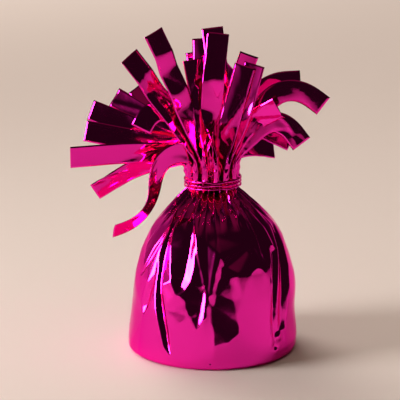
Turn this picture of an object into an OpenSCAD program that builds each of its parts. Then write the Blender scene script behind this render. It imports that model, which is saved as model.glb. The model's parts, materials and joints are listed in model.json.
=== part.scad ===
// Balloon weight: a filled plastic cup inside a bag of mirror film. The bag is gathered
// in pleats, tied at the neck, and cut above the tie into a fringe of springy strips.
// Millimetres, +Z up. The origin is the middle of the flat underside, and the front is -Y.

/* [Wrapped body] */
// Radius of the wrapped body just above its base
base_r = 32.4; // [30:0.2:36]
// Height of the middle of the tied neck
neck_z = 64.5; // [60:0.5:72]
// Outer radius of the gathered film under the tie
neck_r = 10; // [9.6:0.1:11]
// Radius that the inner folds of the gathered neck reach in to
neck_core_r = 2.9; // [2.8:0.1:3.6]
// Thickness of the film
film_t = 0.2; // [0.15:0.01:0.24]
// Depth of the body's deeper folds
fold_depth = 1.8; // [1.2:0.1:2]

/* [Fringe] */
// Width of one fringe strip
strip_w = 8; // [7:0.1:8.2]
// How far the strips reach in past the inner folds of the neck
strip_inset = 0.9; // [0.6:0.1:1]
// Length along the film from the neck to the tip of the longest strip
strip_reach = 62; // [52:0.5:66]
// Length of film above the tie over which a strip leans out
lean_run = 14; // [12:0.5:18]
// Distance along a springy strip from the neck to the line where it flexes
flex_at = 16; // [12:0.5:18]
// Gap at the flexing line
flex_gap = 0.3; // [0.2:0.05:0.5]

/* [Neck tie] */
// Diameter of the tie's cord
tie_d = 0.8; // [0.6:0.05:1]
// Height that the tie climbs in one turn
tie_pitch = 1.25; // [1.25:0.05:1.5]
// Number of turns of the tie
tie_turns = 3; // [2:1:4]
// Length of each straight end of the tie
tie_tail = 2.6; // [1:0.1:4]
// Clearance between the tie and the film
tie_clear = 0.15; // [0.1:0.05:0.3]

/* [Weight cup] */
// Height of the cup's closed top
cup_top_z = 38.4; // [34:0.2:42]
// Wall of the cup
cup_wall = 1; // [0.8:0.1:1.6]
// Width of the flange round the cup's mouth
flange_w = 1.6; // [1:0.1:2.4]
// Thickness of that flange
flange_t = 1.4; // [1:0.1:1.8]
// Radius of the cup's rounded top edge
cup_edge_r = 2.2; // [1.2:0.1:3]
// Clearance between the cup and the film round it
cup_clear = 0.3; // [0.2:0.05:0.5]

/* [Cup lid] */
// Thickness of the lid
lid_t = 1; // [0.8:0.1:1.6]
// Height of the ring on the lid that plugs the cup's mouth
plug_h = 2.4; // [1.6:0.1:3.5]
// Wall of that ring
plug_wall = 1; // [0.8:0.1:1.6]
// Clearance between the ring and the cup
plug_clear = 0.1; // [0.05:0.01:0.2]

/* [Ballast and base] */
// Clearance between the cast ballast and the cup
ballast_clear = 0.2; // [0.1:0.05:0.4]
// Radius of the disc that holds the folded film under the base
disc_r = 25; // [18:0.5:29]
// Thickness of that disc
disc_t = 0.4; // [0.3:0.05:0.8]
// Gap between pieces that rest on one another
seat_gap = 0.15; // [0.1:0.05:0.25]

/* [Hidden] */
$fn = 96;
pleats = 15;
strips = 2 * pleats;

// Film surface from the base up to the tie. Each row has the height, the radius, the depth
// of the pleats, and how far the pleats have closed up towards radial fins at the neck.
bell_shares = [
    [0, 0.96, 0, 0],
    [0.016, 1, 0, 0],
    [0.06, 1, 0, 0],
    [0.12, 0.986, 0.005, 0],
    [0.185, 0.965, 0.01, 0],
    [0.25, 0.947, 0.015, 0],
    [0.31, 0.925, 0.02, 0],
    [0.375, 0.898, 0.027, 0],
    [0.44, 0.865, 0.035, 0],
    [0.505, 0.829, 0.047, 0],
    [0.57, 0.785, 0.06, 0],
    [0.63, 0.727, 0.09, 0.04],
    [0.695, 0.655, 0.14, 0.1],
    [0.76, 0.562, 0.24, 0.21],
    [0.82, 0.45, 0.36, 0.35],
    [0.87, 0.34, 0.5, 0.52],
    [0.92, 0.225, 0.68, 0.7],
    [0.965, 0.105, 0.88, 0.9],
    [1, 0, 1, 1]
];
// The folds that the film makes over the cup. Each row has a fold's place at its low and its
// high end, and how far it spreads to its left and its right, in degrees round from the
// front, to the right. The back has the same folds, mirrored.
fold_angles = [
    [-68, -54, 6, 5],
    [-60, -56, 5, 6],
    [-45, -51, 6, 6],
    [-27, -25, 15, 7],
    [-10, -19, 4, 4],
    [-10, -9, 8, 6],
    [-1, -9, 4, 6],
    [8, 8, 7, 6],
    [44, 49, 8, 11],
    [47, 57, 4, 4],
    [53, 71, 5, 6],
    [-32, -44, 5, 5],
    [26, 38, 18, 18],
    [90, 90, 60, 60]
];
// Where each of these folds starts and ends in height, and its depth. A fold of less than
// no depth stands out.
fold_shares = [
    [0.46, 0.82, 0.5], [0.24, 0.68, 0.75], [0.5, 0.92, 0.5], [0.44, 0.95, 1.1],
    [0.58, 0.88, 0.5], [0.23, 0.55, 0.9], [0.3, 0.92, 0.65], [0.12, 0.66, 0.95],
    [0.62, 0.95, 0.5], [0.1, 0.68, 0.65], [0.16, 0.78, 0.8], [0.08, 0.46, 0.85],
    [0.36, 0.72, -0.45], [0.2, 1, -1]
];
fold_ramp_share = 0.3;
// Where the eight columns of one pleat stand round it at the base and at the neck, and
// how much of the pleat's depth each column has.
column_shares = [
    [0, 0, 1],
    [0.125, 0.25, 1],
    [0.25, 0.25, 0.5],
    [0.375, 0.25, 0],
    [0.5, 0.5, 0],
    [0.625, 0.75, 0],
    [0.75, 0.75, 0.5],
    [0.875, 0.75, 1]
];

// Each strip's lean from level, sideways swing, downward bend, turn of its face at the tip
// (90 is edge up), and upward flick at the tip, all in degrees. Strip 1 is at the right,
// and they run anticlockwise from above, past the back.
strip_angles = [
    [54, 0, 80, 90, 0],
    [64, 0, 64, 90, 0],
    [8, 0, 20, 60, 0],
    [30, 0, 45, 60, 0],
    [74, 0, 8, 60, 0],
    [22, 0, 50, 60, 0],
    [62, 0, 30, 60, 0],
    [35, 0, 70, 50, 0],
    [66, 0, 30, 60, 0],
    [82, 0, 0, 80, 0],
    [79, 12, 0, 90, 0],
    [35, 0, 5, 90, 0],
    [28, 0, 5, 90, 0],
    [18, 0, 0, 90, 0],
    [10, 0, 0, 90, 0],
    [-13, 0, 18, 50, 0],
    [4, 0, 5, 90, 0],
    [60, -14, 122, 80, 0],
    [17, -16, 108, 50, 80],
    [55, -31, 0, 90, 0],
    [66, -28, 0, 90, 0],
    [80, -15, 0, 90, 0],
    [66, -3, 70, 60, 0],
    [81, 14, 0, 40, 0],
    [74, 18, 0, 80, 0],
    [67, 24, -10, 80, 0],
    [60, 15, 30, 80, 0],
    [44, 10, 95, 90, 0],
    [56, 5, 92, 90, 0],
    [98, 0, 0, 90, 0]
];
// Each strip's length, and where along it the bend lies.
strip_shares = [
    [0.62, 0.6], [0.85, 0.72], [0.48, 0.6], [0.72, 0.6], [0.77, 0.6], [0.89, 0.6],
    [0.82, 0.6], [0.89, 0.55], [0.75, 0.6], [0.85, 0.6], [0.77, 0.6], [0.79, 0.6],
    [0.82, 0.6], [0.87, 0.6], [0.83, 0.6], [0.79, 0.6], [0.92, 0.6], [0.72, 0.76],
    [0.97, 0.41], [0.93, 0.6], [1, 0.6], [0.75, 0.6], [0.69, 0.52], [0.9, 0.6],
    [0.72, 0.6], [0.75, 0.6], [0.62, 0.6], [0.74, 0.72], [0.93, 0.74], [0.93, 0.6]
];
// The strips that stand free of their neighbours and flex, counted from 0
springy = [0, 1, 3, 5, 7, 12, 14, 15, 16, 18, 19, 20, 27, 28];
// Half the length of a bend, where a flick starts, where a turn starts and how long it is,
// as shares of the strip, and the length of a swing as a share of the lean's run
bend_half_share = 0.22;
flick_from_share = 0.5;
turn_from_share = 0.2;
turn_run_share = 0.6;
swing_run_share = 1.6;

path_steps = 24;
tip_cuts = 12;
root_cuts = 3;
tie_rings = 24;
tie_sides = 6;
edge_steps = 6;

film_z = disc_t;
band_half = (tie_turns * tie_pitch + tie_d) / 2 + tie_clear;
body_top_z = neck_z - band_half;
collar_z = neck_z + band_half;
strip_from = band_half + seat_gap;
neck_fold = neck_r - neck_core_r;

lid_z = film_z + film_t + seat_gap;
cup_z = lid_z + lid_t + seat_gap;
flange_z = cup_z + flange_t;
plug_z = lid_z + lid_t + plug_h;

function strip_name(k) = str("strip_", k < 9 ? "0" : "", k + 1);
function unit(v) = v / norm(v);
function smooth(x) = let (c = max(0, min(1, x))) c * c * (3 - 2 * c);
function total(rows) = [for (r = rows) 1] * rows;
function least(values, i = 0, low = 1e9) =
    i == len(values) ? low : least(values, i + 1, min(low, values[i]));

// Film: the outline of the bag at each height

function row_z(row) = film_z + (body_top_z - film_z) * row[0];
function row_r(row) = neck_r + (base_r - neck_r) * row[1];

// How deep fold i is at an azimuth from the front and a share of the height
function fold_part(i, az, h) =
    let (
        turns = fold_angles[i],
        share = fold_shares[i],
        up = (h - share[0]) / (share[1] - share[0]),
        off = az - turns[0] - (turns[1] - turns[0]) * up,
        x = off - 360 * round(off / 360),
        near = 1 - (x < 0 ? -x / turns[2] : x / turns[3])
    )
        share[2] * smooth(near) * smooth(min(up, 1 - up) / fold_ramp_share);
function fold_share(az, h) =
    let (parts = [for (i = [0:len(fold_angles) - 1], side = [az, 180 - az]) fold_part(i, side, h)])
        max(parts) + min(parts);

function column_az(j, column, closed) =
    360 / pleats * (j + column[0] + (column[1] - column[0]) * closed);
function outline(row) = [
    for (j = [0:pleats - 1], column = column_shares)
        let (
            az = column_az(j, column, row[3]),
            r = row_r(row) - neck_fold * row[2] * column[2]
                - fold_depth * fold_share(az + 90, row[0])
        )
            [r * cos(az), r * sin(az)]
];
function inward(a, b) = let (e = unit(b - a)) [-e[1], e[0]];
function inset(ring) = let (n = len(ring)) [
    for (i = [0:n - 1])
        let (
            before = inward(ring[(i + n - 1) % n], ring[i]),
            after = inward(ring[i], ring[(i + 1) % n])
        )
            ring[i] + film_t * (before + after) / (1 + before * after)
];
inner_film = [
    for (row = bell_shares) [row_z(row), least([for (p = outline(row)) norm(p)]) - film_t]
];
function inner_film_r(z) = lookup(z, inner_film);
function at_height(ring, z) = [for (p = ring) [p[0], p[1], z]];

// Strips: the path of a strip's middle line, its direction, width and face

function strip_len(k) = strip_reach * strip_shares[k][0];
function strip_az(k) = 360 / strips * (k + 0.5);
function climb(k, s) = let (row = strip_angles[k], u = s / strip_len(k), at = strip_shares[k][1])
    90 + (row[0] - 90) * smooth((s - strip_from) / lean_run)
    - row[2] * smooth((u - at + bend_half_share) / (2 * bend_half_share))
    + row[4] * smooth((u - flick_from_share) / (1 - flick_from_share));
function heading(k, s) =
    strip_az(k) + strip_angles[k][1] * smooth((s - strip_from) / (swing_run_share * lean_run));
function turn(k, s) =
    90 + (strip_angles[k][3] - 90) * smooth((s / strip_len(k) - turn_from_share) / turn_run_share);
function along(k, s) = let (e = climb(k, s), a = heading(k, s))
    [cos(e) * cos(a), cos(e) * sin(a), sin(e)];
function across(k, s) = let (e = climb(k, s), a = heading(k, s), t = turn(k, s))
    cos(t) * [-sin(a), cos(a), 0] + sin(t) * [-sin(e) * cos(a), -sin(e) * sin(a), cos(e)];
function strip_foot(k) = let (r = neck_core_r - strip_inset + strip_w / 2, a = strip_az(k))
    [r * cos(a), r * sin(a), neck_z];
function place(k, s) = strip_foot(k)
    + s / path_steps * total([for (j = [0:path_steps - 1]) along(k, s * (j + 0.5) / path_steps)]);
function section(k, s) = let (p = place(k, s), w = across(k, s) * strip_w / 2)
    let (n = cross(along(k, s), across(k, s)) * film_t / 2)
        [p + w - n, p + w + n, p - w + n, p - w - n];

// Tie: points on its middle line with the outward direction at each

tie_r = neck_r + tie_clear + tie_d / 2;
function tie_point(u) = let (a = 90 + 360 * tie_turns * u)
    [[tie_r * cos(a), tie_r * sin(a), neck_z + tie_turns * tie_pitch * (u - 0.5)], a];
tie_path = concat(
    [[tie_point(0)[0] + [tie_tail, 0, 0], 90]],
    [for (i = [0:tie_turns * tie_rings]) tie_point(i / (tie_turns * tie_rings))],
    [[tie_point(1)[0] - [tie_tail, 0, 0], 90]]
);
tie_gap = least([
    for (i = [1:len(tie_path) - 1], j = [i + tie_rings / 2:1:len(tie_path) - 1])
        norm(tie_path[i][0] - tie_path[j][0]) - tie_d
]);
echo(least_gap_of_tie_to_itself = tie_gap);

// Triangles that join rings of n points into a closed tube, ring after ring. From turn_ring
// or turn_side on, each quad is cut along its other diagonal, so that the two faces of a
// thin wall fold alike
function tube_sides(rings, n, turn_ring, turn_side) = [
    for (i = [0:rings - 2], j = [0:n - 1])
        let (a = i * n + j, b = i * n + (j + 1) % n)
            each i >= turn_ring || j >= turn_side
                ? [[a, a + n, b + n], [a, b + n, b]]
                : [[a, a + n, b], [b, a + n, b + n]]
];
function fan(from, n, flip) = [
    for (j = [1:n - 2]) flip ? [from, from + j + 1, from + j] : [from, from + j, from + j + 1]
];

module tube(rings, turn_side) {
    n = len(rings[0]);
    polyhedron(
        [for (ring = rings) each ring],
        concat(
            tube_sides(len(rings), n, len(rings), turn_side),
            fan(0, n, false),
            fan((len(rings) - 1) * n, n, true)
        )
    );
}

module ribbon(k, from, to, cuts) {
    tube([for (i = [0:cuts]) section(k, from + (to - from) * i / cuts)], 3);
}

module strip(k) {
    color("mediumvioletred")
        if (is_springy(k))
            ribbon(k, flex_at + flex_gap / 2, strip_len(k), tip_cuts);
        else
            ribbon(k, strip_from, strip_len(k), tip_cuts + root_cuts);
}
function is_springy(k) = len(search(k, springy)) > 0;

module strip_roots() {
    color("deeppink")
        for (k = springy)
            ribbon(k, strip_from, flex_at - flex_gap / 2, root_cuts);
}

module wrapper() {
    n = pleats * len(column_shares);
    last = len(bell_shares) - 1;
    outer = [for (row = bell_shares) at_height(outline(row), row_z(row))];
    inner = [for (i = [0:last]) let (row = bell_shares[i])
        at_height(inset(outline(row)), row_z(row) + (i == 0 ? film_t : 0))];
    collar = [
        at_height(outline(bell_shares[last]), collar_z),
        at_height(inset(outline(bell_shares[last])), collar_z)
    ];
    rings = concat(outer, collar, [for (i = [last:-1:0]) inner[i]]);
    centre = len(rings) * n;
    color("deeppink")
        polyhedron(
            concat([for (ring = rings) each ring], [[0, 0, film_z], [0, 0, film_z + film_t]]),
            concat(
                tube_sides(len(rings), n, last + 2, n),
                [for (j = [0:n - 1]) [centre, j, (j + 1) % n]],
                [for (j = [0:n - 1]) [centre + 1, centre - n + (j + 1) % n, centre - n + j]]
            )
        );
}

module neck_tie() {
    color("mediumvioletred")
        tube([
            for (i = [0:len(tie_path) - 1])
                let (
                    p = tie_path[i][0],
                    out = [cos(tie_path[i][1]), sin(tie_path[i][1]), 0]
                )
                    [for (j = [0:tie_sides - 1]) let (a = 360 / tie_sides * j)
                        p + tie_d / 2 * (cos(a) * out + sin(a) * [0, 0, 1])]
        ], tie_sides);
}

cup_flange_r = inner_film_r(flange_z) - cup_clear;
cup_mouth_r = cup_flange_r - flange_w;
cup_top_r = inner_film_r(cup_top_z) - cup_clear;
function cup_outer_r(z) =
    cup_mouth_r + (cup_top_r - cup_mouth_r) * (z - cup_z) / (cup_top_z - cup_z);
function cup_inner_r(z) = cup_outer_r(z) - cup_wall;

module weight_cup() {
    edge_z = cup_top_z - cup_edge_r;
    edge_x = cup_outer_r(edge_z) - cup_edge_r;
    color("white")
        rotate_extrude()
            polygon(concat(
                [[cup_inner_r(cup_z), cup_z], [cup_flange_r, cup_z], [cup_flange_r, flange_z],
                    [cup_outer_r(flange_z), flange_z]],
                [for (i = [0:edge_steps]) let (a = 90 * i / edge_steps)
                    [edge_x + cup_edge_r * cos(a), edge_z + cup_edge_r * sin(a)]],
                [[0, cup_top_z], [0, cup_top_z - cup_wall],
                    [edge_x, cup_top_z - cup_wall],
                    [cup_inner_r(edge_z), edge_z]]
            ));
}

module cup_lid() {
    lid_r = inner_film_r(lid_z) - cup_clear;
    plug_r = cup_inner_r(plug_z) - plug_clear;
    color("whitesmoke")
        rotate_extrude()
            polygon([
                [0, lid_z], [lid_r, lid_z], [lid_r, lid_z + lid_t],
                [plug_r, lid_z + lid_t], [plug_r, plug_z],
                [plug_r - plug_wall, plug_z], [plug_r - plug_wall, lid_z + lid_t],
                [0, lid_z + lid_t]
            ]);
}

module ballast() {
    low_z = plug_z + ballast_clear;
    high_z = cup_top_z - cup_wall - ballast_clear;
    edge_z = cup_top_z - cup_edge_r;
    color("gainsboro")
        rotate_extrude()
            polygon([
                [0, low_z], [cup_inner_r(low_z) - ballast_clear, low_z],
                [cup_inner_r(edge_z) - ballast_clear, edge_z - ballast_clear],
                [cup_outer_r(edge_z) - cup_edge_r - ballast_clear, high_z],
                [0, high_z]
            ]);
}

module base_disc() {
    color("white")
        cylinder(r = disc_r, h = disc_t);
}

base_disc();
ballast();
weight_cup();
cup_lid();
wrapper();
neck_tie();
strip_roots();
for (k = [0:strips - 1])
    strip(k);
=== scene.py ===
"""Balloon weight: a filled cup wrapped in mirror film, tied under a tuft of springy strips.

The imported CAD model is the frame. This file dresses it: the creased bag, the wound tie and
the fringe are modelled as meshes round the CAD solids, and the rigid pieces get materials.
Lengths are metres, +Z is up, and -Y is the front.
"""

import json
import math

import bpy
import numpy as np
from bpy.props import FloatProperty, FloatVectorProperty, PointerProperty
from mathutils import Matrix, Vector
from mathutils.geometry import delaunay_2d_cdt


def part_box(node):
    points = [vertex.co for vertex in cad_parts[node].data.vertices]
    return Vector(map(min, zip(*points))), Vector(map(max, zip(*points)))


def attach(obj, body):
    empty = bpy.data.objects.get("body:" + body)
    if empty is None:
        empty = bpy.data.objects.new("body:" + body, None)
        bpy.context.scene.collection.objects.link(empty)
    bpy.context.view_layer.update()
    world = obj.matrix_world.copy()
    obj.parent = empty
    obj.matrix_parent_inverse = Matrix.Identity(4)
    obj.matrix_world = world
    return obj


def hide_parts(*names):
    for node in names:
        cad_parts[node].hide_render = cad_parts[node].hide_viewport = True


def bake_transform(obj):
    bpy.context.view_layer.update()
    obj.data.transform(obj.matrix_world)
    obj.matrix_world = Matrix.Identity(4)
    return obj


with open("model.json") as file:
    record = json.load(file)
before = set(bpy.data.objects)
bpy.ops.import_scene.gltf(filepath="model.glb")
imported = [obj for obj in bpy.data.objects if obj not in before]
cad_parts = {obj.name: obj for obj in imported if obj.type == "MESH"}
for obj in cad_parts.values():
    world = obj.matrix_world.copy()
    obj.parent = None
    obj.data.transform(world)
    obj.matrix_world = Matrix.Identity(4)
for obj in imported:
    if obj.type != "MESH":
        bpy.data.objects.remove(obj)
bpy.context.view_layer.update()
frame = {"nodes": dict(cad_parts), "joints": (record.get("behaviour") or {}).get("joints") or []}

bl_info = {
    "name": "Balloon weight",
    "version": (1, 0, 0),
    "blender": (4, 5, 0),
    "location": "3D View > Sidebar > Balloon weight",
    "description": "Dresses a balloon weight: creased film bag, wound tie, fringe and stage",
    "category": "Add Mesh",
}

MM = 0.001

# Places of the CAD pieces that the film is modelled round: the bag, the tie and the neck that
# it is wound on, the radius that the neck's inner folds reach in to, and the gap under the tie

BAG_LOW, BAG_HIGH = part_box("wrapper")
TIE_LOW, TIE_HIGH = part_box("neck_tie")
NECK_Z = (TIE_LOW.z + TIE_HIGH.z) / 2
BASE_R = (BAG_HIGH.x - BAG_LOW.x) / 2
FILM_Z = BAG_LOW.z
COLLAR_Z = BAG_HIGH.z
NECK_R = 10 * MM
NECK_CORE_R = 4.6 * MM
TIE_CLEAR = 0.15 * MM
BODY_TOP_Z = TIE_LOW.z - TIE_CLEAR

# The bell's outline: share of the height from its base to the neck, and share of the way
# from the neck's radius to the base's. Its corners are eased by a mean over a share of the
# height to each side, taken in steps, which grows and ends with a ramp near the base and neck

BELL_SHARES = (
    (0, 0.96), (0.016, 1), (0.06, 1), (0.12, 0.986), (0.185, 0.965), (0.25, 0.947), (0.31, 0.925),
    (0.375, 0.898), (0.44, 0.865), (0.505, 0.829), (0.57, 0.785), (0.63, 0.727), (0.695, 0.655),
    (0.76, 0.562), (0.82, 0.45), (0.87, 0.34), (0.92, 0.225), (0.965, 0.105), (1, 0),
)
EASE_SHARE = 0.045
EASE_STEPS = 4
EASE_FROM = 0.05
EASE_TO = 1.02
EASE_RAMP = 0.1

# The bag bulges to the right: middle and spread in degrees from the front, start and end in
# height as shares, the share of that over which it grows, and how far it stands out

SWELL_AT = 90
SWELL_SPREAD = 60
SWELL_FROM = 0.2
SWELL_TO = 1
SWELL_RAMP = 0.3
SWELL_OUT = 1.8 * MM

# The folds of the bag as the front shows them. Each row is a crease with its name and its
# points: degrees round from the front, height, and how far it stands out (mm). Neighbouring
# creases are joined by facets of film

CREASES = (
    ("far left ridge", (-88, 47, 0.3), (-86, 38, 0.5), (-82, 31, 0.6), (-79, 27, 0.4)),
    ("upper pocket, outer rim", (-50, 51, 0.4), (-59, 42, 0.5), (-65, 34.5, 0.5), (-69, 30, 0.4)),
    ("upper pocket, hollow", (-51, 46.5, -0.5), (-59.5, 38, -0.8), (-65.5, 32.5, -0.3)),
    ("upper pocket, inner rim", (-50, 51, 0.4), (-50.5, 44, 0.4), (-58, 36.5, 0.5), (-64, 31, 0.5),
     (-69, 30, 0.4)),
    ("lower pocket, left rim", (-50, 39, 0), (-56, 29, 0.4), (-59, 20.5, 0.5), (-56.5, 16, 0.4)),
    ("lower pocket, hollow", (-50, 33.5, -0.3), (-52, 27.5, -0.7), (-54, 21, -0.6)),
    ("lower pocket, right rim", (-50, 39, 0), (-46.5, 35, 0.2), (-46.8, 28, 0.5), (-50, 21, 0.6),
     (-56.5, 16, 0.4)),
    ("gully beside the leaf", (-46, 53, -0.6), (-45, 43, -1.3), (-44.3, 36, -1.3), (-43, 30, -1.2),
     (-41.5, 25, -1.3)),
    ("leaf, left ridge", (-44, 50, 0.5), (-40, 44, 0.7), (-35.5, 38, 0.8), (-31.7, 32.5, 1.3),
     (-26.6, 28, 0.9), (-22.3, 26.3, 0.6)),
    ("leaf, valley", (-23, 54, -0.2), (-21.5, 49, -0.4), (-21, 43, -1), (-22.5, 37, -1.3),
     (-24, 33, -1.1), (-25.2, 30, -0.4)),
    ("leaf, right ridge", (-19, 54, 0.3), (-17, 49, 0.3), (-15.5, 43, 0.3), (-15, 37, 0.3),
     (-17, 32.5, 0.1), (-20.5, 29.5, 0.5), (-22.3, 26.3, 0.6)),
    ("long ridge", (-26, 59, 0.3), (-15, 53, 0.4), (-12.5, 48, 0.4), (-11, 43, 0.3), (-8.5, 38, 0),
     (-6.4, 31.5, 0)),
    ("diamond, upper left edge", (-17, 32.5, 0.1), (-13, 34.8, -0.2), (-6.4, 31.5, 0)),
    ("diamond, lower left edge", (-20.5, 29.5, 0.5), (-19.5, 25, 0.45), (-16.1, 20.2, 0.45),
     (-11.8, 14.6, 0.2)),
    ("diamond, valley", (-6.4, 31.5, 0), (-7.5, 27.5, -0.3), (-8.8, 24, -0.3), (-10.7, 19.5, -0.1),
     (-11.8, 14.6, 0.2)),
    ("diamond, right edge", (-6.4, 31.5, 0), (-5.2, 27.5, 0.6), (-5, 24, 1.0), (-5.2, 19.5, 1.35),
     (-8, 16.5, 0.8), (-11.8, 14.6, 0.2)),
    ("beside the diamond", (-5, 38, -0.2), (-3.4, 31, 0.3), (-3.4, 27.5, 0.6), (-3.4, 24, 0.5),
     (-3.4, 19.5, 0.3), (-4, 12, 0.1)),
    ("middle gully", (-8, 53, -0.6), (-6, 46, -0.5), (-5, 38, -0.2)),
    ("middle ridge", (5, 58, 0.3), (6, 54.5, 0.4), (5, 48, 0.3), (5, 42.5, 1.6)),
    ("small facet, left edge", (5, 42.5, 1.6), (1, 35.5, 0.9), (-1.6, 28.5, 1.0), (0.6, 24, 0)),
    ("spike, left edge", (5, 42.5, 1.6), (7, 38, 0), (5.2, 33, -0.8), (2.8, 28, -0.3), (0.6, 24, 0),
     (0, 17.5, 0.4), (0.5, 9, 0.9)),
    ("beside the spike", (-1.2, 24, 0.3), (-1.5, 17.5, 0.2), (-1.2, 9, 0.2), (0, 4, 0)),
    ("spike, foot", (0.5, 9, 0.9), (10, 10.5, 0.8), (17, 13, 0.6)),
    ("spike, right edge", (5, 42.5, 1.6), (9, 38, 0.2), (11.5, 34, 0.5), (14.5, 25.5, 0.1),
     (17.5, 17.5, 0.3), (17, 13, 0.6)),
    ("broad facet, top", (11.5, 34, 0.5), (18, 35.5, 2.1), (27, 35, 2.1), (33, 37.5, 2.4),
     (37, 37.5, 2.0), (40, 35.5, 1.6), (45, 30.5, 0.9)),
    ("broad facet, middle", (20, 27, 1.2), (33, 26, 0.9)),
    ("below the broad facet", (17.5, 17.5, 0.3), (18.7, 13, 0.15), (24, 17, 0.2), (33, 17, 0.2)),
    ("broad facet, right edge", (45, 30.5, 0.9), (44, 23, 0.5), (42, 15, 0.2)),
    ("upper right ridge", (50, 60, 0.2), (42, 55, 0.3), (37, 50, 0.4), (35, 45, 0.4), (33, 37.5, 2.4)),
    ("upper right gully", (48, 55, -0.8), (46, 48, -0.9), (44, 42, -0.5)),
    ("outer right ridge", (63, 58.5, 0.3), (59, 51, 0.4), (54, 44, 0.4), (50, 37, 0.5), (47, 29, 0.8)),
    ("right fold, left wall", (57, 40, -0.6), (51, 30, -1.2), (47, 20, -1.1), (46, 14, -0.7)),
    ("right fold, crest", (76, 57, 0.3), (70, 50, 0.4), (64, 41.5, 0.4), (56, 33, 0.3), (52, 26, 0.1),
     (50, 18, 0.1), (50, 12, 0.0)),
    ("right fold, right wall", (70, 44, -0.9), (66, 36, -1.3), (61, 28, -1.3), (56, 20, -1.1),
     (54, 13, -0.7)),
    ("right fold, rim", (80, 50, 0.4), (75, 42, 0.5), (71, 34, 0.6), (67, 26, 0.5), (62, 18, 0.4),
     (58, 12, 0.3)),
    ("long fold, left rim", (-45.5, 31, 0.3), (-44, 26, 0.6), (-42, 20.5, 0.7), (-37, 13, 0.6),
     (-34, 8, 0.5), (-28, 4, 0.3)),
    ("long fold, floor", (-41.5, 25, -1.3), (-38.5, 19.5, -1.4), (-34, 13, -1.1), (-31.3, 8, -0.7)),
    ("long fold, right rim", (-39.5, 30.5, 0.9), (-35, 22, 0.4), (-30.5, 13.2, 0.4), (-28.6, 8, 0.3),
     (-28, 4, 0.3)),
)

# Narrow pinched lines of the film that run down from the neck: how far they stand out (mm)
# and their half width (degrees), then points as degrees from the front and height (mm). At
# both ends they fade over a run of height

PINCHES = (
    (0.45, 2.2, (-27, 58), (-20, 52), (-14.5, 46), (-12, 42), (-6.5, 34), (-6, 30)),
    (0.2, 2.6, (-31, 57.5), (-28.5, 54), (-26, 50.5)),
    (0.2, 1.4, (-3, 61), (3, 55.5), (3.8, 46), (1.8, 42.5), (-2, 33), (-3.4, 28)),
    (0.5, 1.6, (38, 60.5), (28, 52), (29, 46), (34.5, 40)),
    (0.55, 2, (43, 60), (42.5, 53), (44, 46.5), (42, 39)),
    (0.55, 1.8, (53, 58), (57, 48), (58, 41)),
    (0.3, 1.6, (-45, 58), (-42.5, 52), (-41, 47)),
    (0.25, 3, (-49, 54), (-47, 50), (-45, 46)),
    (0.3, 1.4, (14, 61), (15, 56), (17, 51)),
    (0.3, 1.6, (70, 58), (72, 50), (74, 42)),
    (0.3, 1.6, (-62, 58), (-68, 50), (-76, 40)),
)
PINCH_END = 3 * MM

# Strips of the fringe, counted round from the right, as the CAD solids have them. Degrees: a
# strip's slope above level where it has left the neck, how far it swings round and bends
# over, the turn of its face at its tip (90 is flat on), and how far its tip flicks up

STRIP_ANGLES = (
    (54, 0, 80, 90, 0), (64, 0, 64, 90, 0), (8, 0, 20, 60, 0), (30, 0, 45, 60, 0),
    (74, 0, 8, 60, 0), (22, 0, 50, 60, 0), (62, 0, 30, 60, 0), (35, 0, 70, 50, 0),
    (66, 0, 30, 60, 0), (82, 0, 0, 80, 0), (79, 12, 0, 90, 0), (35, 0, 5, 90, 0),
    (28, 0, 5, 90, 0), (18, 0, 0, 90, 0), (10, 0, 0, 90, 0), (-13, 0, 18, 50, 0),
    (4, 0, 5, 90, 0), (60, -14, 122, 80, 0), (17, -16, 108, 50, 80), (55, -31, 0, 90, 0),
    (66, -28, 0, 90, 0), (80, -15, 0, 90, 0), (66, -3, 70, 60, 0), (81, 14, 0, 40, 0),
    (74, 18, 0, 80, 0), (67, 24, -10, 80, 0), (60, 15, 30, 80, 0), (44, 10, 95, 90, 0),
    (56, 5, 92, 90, 0), (98, 0, 0, 90, 0),
)

# Each strip's share of the longest one, and where along it the bend lies

STRIP_SHARES = (
    (0.62, 0.6), (0.85, 0.72), (0.48, 0.6), (0.72, 0.6), (0.77, 0.6), (0.89, 0.6),
    (0.82, 0.6), (0.89, 0.55), (0.75, 0.6), (0.85, 0.6), (0.77, 0.6), (0.79, 0.6),
    (0.82, 0.6), (0.87, 0.6), (0.83, 0.6), (0.79, 0.6), (0.92, 0.6), (0.72, 0.76),
    (0.97, 0.41), (0.93, 0.6), (1, 0.6), (0.75, 0.6), (0.69, 0.52), (0.9, 0.6),
    (0.72, 0.6), (0.75, 0.6), (0.62, 0.6), (0.74, 0.72), (0.93, 0.74), (0.93, 0.6),
)

# Creases down the two sides, which only stand there once, written as those above

SIDE_CREASES = (
    ("right side ridge", (88, 8, 0.1), (92, 18, 0.2), (88, 30, 0.3), (90, 44, 0.3), (94, 56, 0.2)),
    ("left side ridge", (-96, 8, 0.1), (-98, 20, 0.2), (-96, 34, 0.3), (-98, 50, 0.1)),
)

# Small dents and blisters: degrees from the front, height, radius and how far out (mm). The
# power says how round they are

DENTS = (
    (50.5, 9.6, 2.2, 0.45), (46.5, 6.6, 2, -0.35), (-2, 3.4, 0.9, -0.3),
    (-29, 3.4, 1.0, -0.3), (104, 6.0, 1.4, -0.4), (151, 4.2, 1.2, -0.4), (-128, 5.0, 1.3, -0.4),
)
DENT_POWER = 1.5

# The lower edge is pulled in at the right: middle and spread in degrees, height and depth

HEM_AT = 78
HEM_SPREAD = 40
HEM_HEIGHT = 4.5 * MM
HEM_DEPTH = 1.4 * MM

# How the back's creases differ from the front's: shift up or down (mm), degrees round for
# each radian of that shift's wave, and share of the depth. No crease of the back starts lower
# than LOW_CREASE (mm)

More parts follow.
